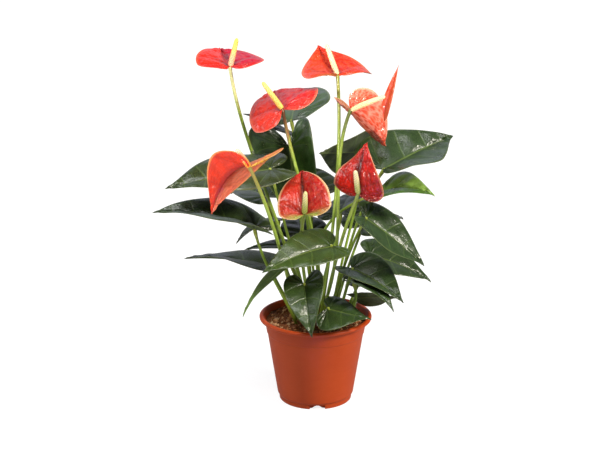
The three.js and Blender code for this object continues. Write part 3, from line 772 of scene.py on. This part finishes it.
for name, row in FLOWERS.items():
    wave = [rng.random() for _ in range(3)]
    front = -1 if name == "left" else 1  # the left one hangs with its lacquered face down

    def vein_net(u, v):
        """1 on the fine veins between the side veins, 0 in the cushions they enclose."""
        spots = zip(u * 24, np.abs(2 * v - 1) * 9, np.where(v > 0.5, 9.0, 1.0))
        edge = [noise.voronoi(Vector(p), distance_metric="DISTANCE")[0] for p in spots]
        return 1 - smooth(np.array([d[1] - d[0] for d in edge]), 0.0, 0.28)

    def spathe_shape(u, v, row=row, wave=wave, front=front):
        t = 2 * v - 1
        point, up = blade_at(row, SPATHE_OUTLINE, u, t)
        q, width = abs(t), row[6]
        swell = np.sqrt(abs(np.sin(math.pi * SPATHE_VEINS * u)))
        raised = width / 45 * 2.0 * swell * smooth(q, 0.03, 0.25) * (1 - smooth(q, 0.75, 0.97))
        groove = -1.2 * np.exp(-(q * width * outline_at(SPATHE_OUTLINE, u)[:, 1] / 1.8) ** 2)
        ripple = np.sin(2 * math.pi * ((2.1 + wave[0]) * u + np.where(t > 0, wave[1], wave[2])))
        pucker = -0.75 * vein_net(u, v) * smooth(q, 0.02, 0.1) * (1 - q ** 8)
        ends = smooth(u, 0.0, 0.1) * (1 - smooth(u, 0.92, 1.0))
        height = (raised + pucker + 0.025 * width * ripple * q ** 4) * ends
        return point + up * front * (height + groove * smooth(u, 0, 0.25))[:, None]

    spathe = sheet_of("spathe_sheet_" + name, 130, 56, spathe_shape)
    marked(spathe, "vein_net", vein_net(*uv_of(spathe)))
    thickened(spathe, SPATHE_THICKNESS, spathe_skins[::front])
    if name == "upper_right":
        tip = sheet_of("drawn_tip", 40, 8,
                       lambda u, v: blade_at(DRAWN_TIP, SPATHE_OUTLINE, u, 2 * v - 1)[0])
        marked(tip, "vein_net", np.zeros(len(tip.data.vertices)))
        thickened(tip, SPATHE_THICKNESS, spathe_skins)
        spathe.select_set(True)
        bpy.context.view_layer.objects.active = spathe
        bpy.ops.object.join()
    spathe.name = spathe.data.name = "red_spathe_" + name
    for part, code in zip(SPATHE_PARTS, SPATHE_COLOUR[name]):
        keep_colour_and_painted_light(spathe, part, code)
    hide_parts("spathe_" + name)
    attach(spathe, "root")

# ---- Spadices ----
# The spadix is the spike of tiny flowers that stands on the stalk's end: a fleshy tapered finger
# packed with flowers in crossing spirals, each a four-sided bump 1.6 mm wide. It ripens from one
# end, so its colour changes along it.
SPADIX_COLOUR = {
    "top_left": ("#eeaa85", "#f2ce5c"), "upper_left": ("#edc05c", "#f1cf70"),
    "top_right": ("#f5c89a", "#f3dcae"), "upper_right": ("#f4d49c", "#f2e2b2"),
    "left": ("#ee9a34", "#f4c6ac"), "centre": ("#97a24c", "#dcd79c"),
    "right": ("#b4ba70", "#ebe2b6")}

# The flesh is soft, waxy and lets some light in; the gaps between the bumps are darkened by their
# depth as painted shade.
spike, tree, skin = finish_of(
    "ripening_spadix", Roughness=0.5, IOR=1.42, Subsurface_Weight=0.2,
    Subsurface_Radius=(0.002, 0.0012, 0.0006), Subsurface_Scale=1.0)
uv = add(tree, "ShaderNodeSeparateXYZ", {0: add(tree, "ShaderNodeUVMap", uv_map="UVMap")})
low = add(tree, "ShaderNodeAttribute", attribute_name="spadix_foot").outputs["Color"]
high = add(tree, "ShaderNodeAttribute", attribute_name="spadix_tip").outputs["Color"]
ripe = add(tree, "ShaderNodeMapRange", {0: uv.outputs[0], 1: 0.15, 2: 0.85},
           interpolation_type="SMOOTHSTEP")
flesh = add(tree, "ShaderNodeMix", {0: ripe, 6: low, 7: high}, data_type="RGBA")
peak = add(tree, "ShaderNodeAttribute", attribute_name="flower_peak").outputs["Fac"]
# Painted shade: the deeper the gap between the flowers, the darker.
painted_gap_shade = add(tree, "ShaderNodeMapRange", {0: peak, 1: -0.6, 2: 0.8, 3: 0.72, 4: 1.08})
flesh = add(tree, "ShaderNodeHueSaturation", {"Value": painted_gap_shade, "Color": flesh.outputs[2]})
tree.links.new(flesh.outputs[0], skin.inputs["Base Color"])

for name, row in FLOWERS.items():
    joint, tip = np.array(row[0], float), np.array(row[13], float)
    axis = unit(tip - joint)
    tangent = unit(joint - np.array([*row[12], STALK_ROOT + 0.7 * (joint[2] - STALK_ROOT)]))
    foot = joint + 0.3 * tangent + 1.6 * axis
    length = np.linalg.norm(tip - joint) + 0.9
    side = unit(np.cross(axis, (1, 0, 0)))

    def lattice(u, v):
        turns = length * u / 3.4
        return (np.cos(2 * math.pi * (8 * v + turns)) + np.cos(2 * math.pi * (5 * v - turns))) / 2

    def spadix_shape(u, v):
        z = length * u
        end = np.clip((z - length + 4.2) / 4.2, 0, 1)
        girth = (3.3 - 0.9 * smooth(u, 0.3, 1.05) - 0.5 * (1 - smooth(z, 0, 2.5)))
        girth = (girth + 0.22 * lattice(u, v) * (1 - u ** 8)) * np.sqrt(1 - end ** 2)
        turn = (2 * math.pi * v)[:, None]
        bow = 0.6 * np.sin(math.pi * u)[:, None] * side
        return (foot + axis * z[:, None] + bow
                + (side * np.cos(turn) + np.cross(axis, side) * np.sin(turn)) * girth[:, None])

    spadix = sheet_of("flower_spike_" + name, 100, 60, spadix_shape)
    marked(spadix, "flower_peak", lattice(*uv_of(spadix)))
    bpy.ops.object.mode_set(mode="EDIT")
    bpy.ops.mesh.select_all(action="SELECT")
    bpy.ops.mesh.fill_holes(sides=0)
    bpy.ops.mesh.normals_make_consistent(inside=False)
    bpy.ops.object.mode_set(mode="OBJECT")
    bpy.ops.object.shade_smooth()
    spadix.data.materials.append(spike)
    keep_colour_and_painted_light(spadix, "spadix_foot", SPADIX_COLOUR[name][0])
    keep_colour_and_painted_light(spadix, "spadix_tip", SPADIX_COLOUR[name][1])
    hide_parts("spadix_" + name)
    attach(spadix, "root")

# ---- Studio ----
# A white sweep under a dim even sky, a warm key from the right and above, a soft box overhead, a
# low fill, and a violet pool on the sweep in front that reflects in the pot.
bpy.ops.object.select_all(action="DESELECT")
bpy.ops.mesh.primitive_plane_add(size=40, location=(0, 0, -0.0001))
floor = bpy.context.object
floor.name = "studio_floor"
paper, tree, skin = finish_of(
    "white_sweep", Roughness=0.9, Specular_IOR_Level=0.1, Base_Color=srgb("#8c8c8c"),
    Emission_Color=(1, 1, 1, 1))
# The sweep is lit to pure white where it is seen, and gives back only a soft glow.
seen = add(tree, "ShaderNodeLightPath").outputs["Is Camera Ray"]
glow = add(tree, "ShaderNodeMapRange", {0: seen, 3: 0.14, 4: 0.84})
tree.links.new(glow.outputs[0], skin.inputs["Emission Strength"])
floor.data.materials.append(paper)
floor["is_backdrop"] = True

world = bpy.data.worlds.new("studio_sky")
bpy.context.scene.world = world
world.use_nodes = True
tree = world.node_tree
tree.nodes["Background"].inputs["Strength"].default_value = 0.14
tree.nodes["Background"].inputs["Color"].default_value = srgb("#e8edff")


def lamp(name, kind, energy, place, aim, colour="#ffffff", **values):
    bpy.ops.object.select_all(action="DESELECT")
    bpy.ops.object.light_add(type=kind, location=place)
    made = bpy.context.object
    made.name = name
    made.data.energy = energy
    made.data.color = srgb(colour)[:3]
    for key, value in values.items():
        setattr(made.data, key, value)
    made.rotation_euler = (Vector(aim) - Vector(place)).to_track_quat("-Z", "Y").to_euler()
    made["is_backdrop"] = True


lamp("key_sun", "SUN", 3.5, (0.72, -0.36, 0.6), (0, 0, 0), "#fff6ea", angle=math.radians(12))
lamp("top_box", "AREA", 40, (-0.4, -0.7, 2.0), (0, 0, 0.3), shape="SQUARE", size=1.3)
lamp("back_wall", "AREA", 8, (-0.4, 2.6, 1.3), (0, 0, 0.3), "#e6ecff",
     shape="RECTANGLE", size=3.2, size_y=1.6)
lamp("under_fill", "AREA", 0.9, (-0.35, -1.5, 0.05), (0, 0, 0.38), "#fff0e4", shape="SQUARE",
     size=0.4, spread=math.radians(16))
lamp("left_edge", "AREA", 10, (-1.7, 0.3, 0.7), (0, 0, 0.2), shape="SQUARE", size=0.8)
lamp("floor_pool", "SPOT", 900, (0.01, -0.3, 1.6), (0.01, -0.24, 0), "#8a7cff",
     spot_size=math.radians(7), spot_blend=1.0)

low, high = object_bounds()
